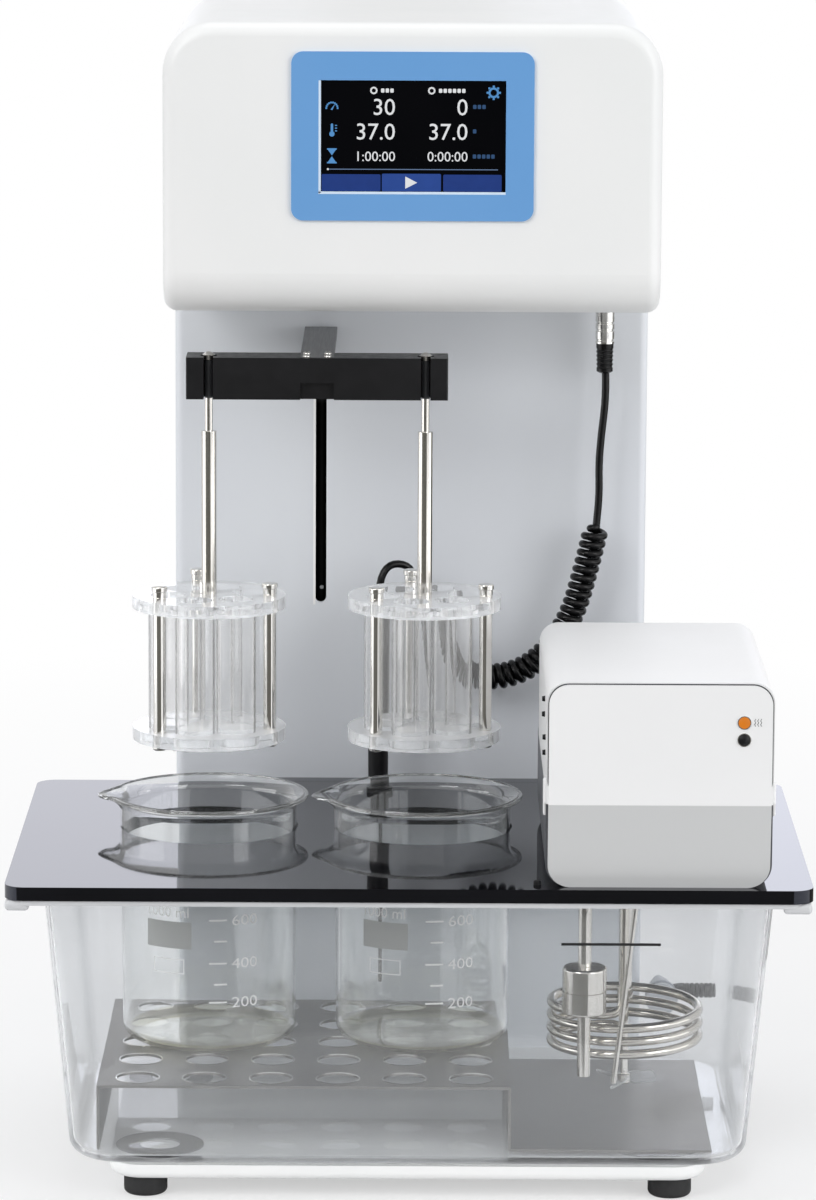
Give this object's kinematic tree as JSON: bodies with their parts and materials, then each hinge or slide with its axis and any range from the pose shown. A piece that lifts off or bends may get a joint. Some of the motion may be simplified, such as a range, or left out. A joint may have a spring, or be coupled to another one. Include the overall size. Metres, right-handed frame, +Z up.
{
  "type": "tablet disintegration tester",
  "caption": "Bench tester that raises and lowers two basket racks of glass tubes in beakers standing in a clear, heated water bath under a touch-screen head.",
  "frame": {"origin": "on the bench, at the middle of the footprint box, between the lid's front edge and the mains inlet's back", "axes": "+X to the right as seen by the user, +Y to the back, +Z up"},
  "size_m": [0.465, 0.399, 0.68],
  "materials": {
    "white_paint": "satin powder coat",
    "bezel_blue": "satin",
    "black_plate": "high gloss",
    "black_anodised": "satin black anodised",
    "grey_metal": "satin",
    "steel": "satin",
    "bright_steel": "polished",
    "brass": "turned",
    "rubber": "matt",
    "clear_plastic": "clear polycarbonate",
    "clear_acrylic": "clear acrylic",
    "glass": "clear glass",
    "screen_glass": "gloss",
    "green_board": "solder resist",
    "black_plastic": "satin",
    "dark_plastic": "satin",
    "lamp": "gloss",
    "float_plastic": "satin",
    "black_cable": "satin"
  },
  "bodies": {
    "stand": {"base_plate": "white_paint", "rubber_feet": "rubber", "tank_pads": "rubber", "column_shell": "white_paint", "head_shell": "white_paint", "rear_cover": "white_paint", "cover_screws": "steel", "bezel": "bezel_blue", "touch_screen": "screen_glass", "control_board": "green_board", "power_supply": "grey_metal", "mains_inlet": "black_plastic", "lift_chassis": "grey_metal", "guide_rods": "bright_steel", "lift_motor": "black_anodised", "bath_tank": "clear_plastic", "bath_lid": "black_plate", "stepped_tray": "steel", "drain_tap": "dark_plastic", "heater_base": "dark_plastic", "heater_hood": "white_paint", "heater_panel": "white_paint", "indicator_lamps": "lamp", "heater_coil": "steel", "stirrer_tube": "grey_metal", "stirrer_motor": "grey_metal", "float_stem": "steel", "safety_probe": "steel", "temperature_probe": "black_plastic", "probe_socket": "steel", "probe_plug": "steel", "lead_straight": "black_cable", "lead_curly": "black_cable", "lead_tail": "black_cable"},
    "lift": {"lift_carriage": "grey_metal", "lift_nut": "brass", "drive_arm": "grey_metal", "arm_screws": "bright_steel", "crossbar": "black_anodised"},
    "screw": {"lead_screw": "steel"},
    "left_rack": {"left_hanger_rod": "bright_steel", "left_upper_plate": "clear_acrylic", "left_lower_plate": "clear_acrylic", "left_glass_tubes": "glass", "left_posts": "bright_steel", "left_wire_mesh": "steel"},
    "right_rack": {"right_hanger_rod": "bright_steel", "right_upper_plate": "clear_acrylic", "right_lower_plate": "clear_acrylic", "right_glass_tubes": "glass", "right_posts": "bright_steel", "right_wire_mesh": "steel"},
    "left_disc_set": {"left_discs": "clear_acrylic"},
    "right_disc_set": {"right_discs": "clear_acrylic"},
    "left_vessel": {"left_beaker": "glass"},
    "right_vessel": {"right_beaker": "glass"},
    "rocker": {"switch_rocker": "black_plastic"},
    "stirrer": {"impeller": "black_plastic"},
    "float": {"level_float": "float_plastic"},
    "tap_knob": {"drain_knob": "dark_plastic"}
  },
  "joints": [
    {"name": "lift_travel", "type": "slide", "parent": "stand", "child": "lift", "axis": [0, 0, 1], "range_m": [-0.15, 0]},
    {"name": "lead_screw_turn", "type": "hinge", "parent": "stand", "child": "screw", "pos_m": [-0.056, 0.1405, 0.4], "axis": [0, 0, 1], "range_deg": [-5401, 1]},
    {"name": "left_rack_unhook", "type": "slide", "parent": "lift", "child": "left_rack", "axis": [0, 0, 1], "range_m": [0, 0.012]},
    {"name": "left_discs_rise", "type": "slide", "parent": "left_rack", "child": "left_disc_set", "axis": [0, 0, 1], "range_m": [0, 0.06]},
    {"name": "left_beaker_lift", "type": "slide", "parent": "stand", "child": "left_vessel", "axis": [0, 0, 1], "range_m": [0, 0.028]},
    {"name": "right_rack_unhook", "type": "slide", "parent": "lift", "child": "right_rack", "axis": [0, 0, 1], "range_m": [0, 0.012]},
    {"name": "right_discs_rise", "type": "slide", "parent": "right_rack", "child": "right_disc_set", "axis": [0, 0, 1], "range_m": [0, 0.06]},
    {"name": "right_beaker_lift", "type": "slide", "parent": "stand", "child": "right_vessel", "axis": [0, 0, 1], "range_m": [0, 0.028]},
    {"name": "power_rocker", "type": "hinge", "parent": "stand", "child": "rocker", "pos_m": [0.079, 0.1955, 0.206], "axis": [1, 0, 0], "range_deg": [-8, 8]},
    {"name": "stirrer_spin", "type": "hinge", "parent": "stand", "child": "stirrer", "pos_m": [0.129, -0.086, 0.07], "axis": [0, 0, 1], "continuous": true},
    {"name": "float_rise", "type": "slide", "parent": "stand", "child": "float", "axis": [0, 0, 1], "range_m": [0, 0.038]},
    {"name": "drain_tap_turn", "type": "hinge", "parent": "stand", "child": "tap_knob", "pos_m": [0.1795, 0.0939, 0.063], "axis": [1, 0, 0], "range_deg": [0, 90]}
  ],
  "couplings": [
    {"joint": "lead_screw_turn", "follows": "lift_travel", "rad_per_m": 628.32}
  ]
}
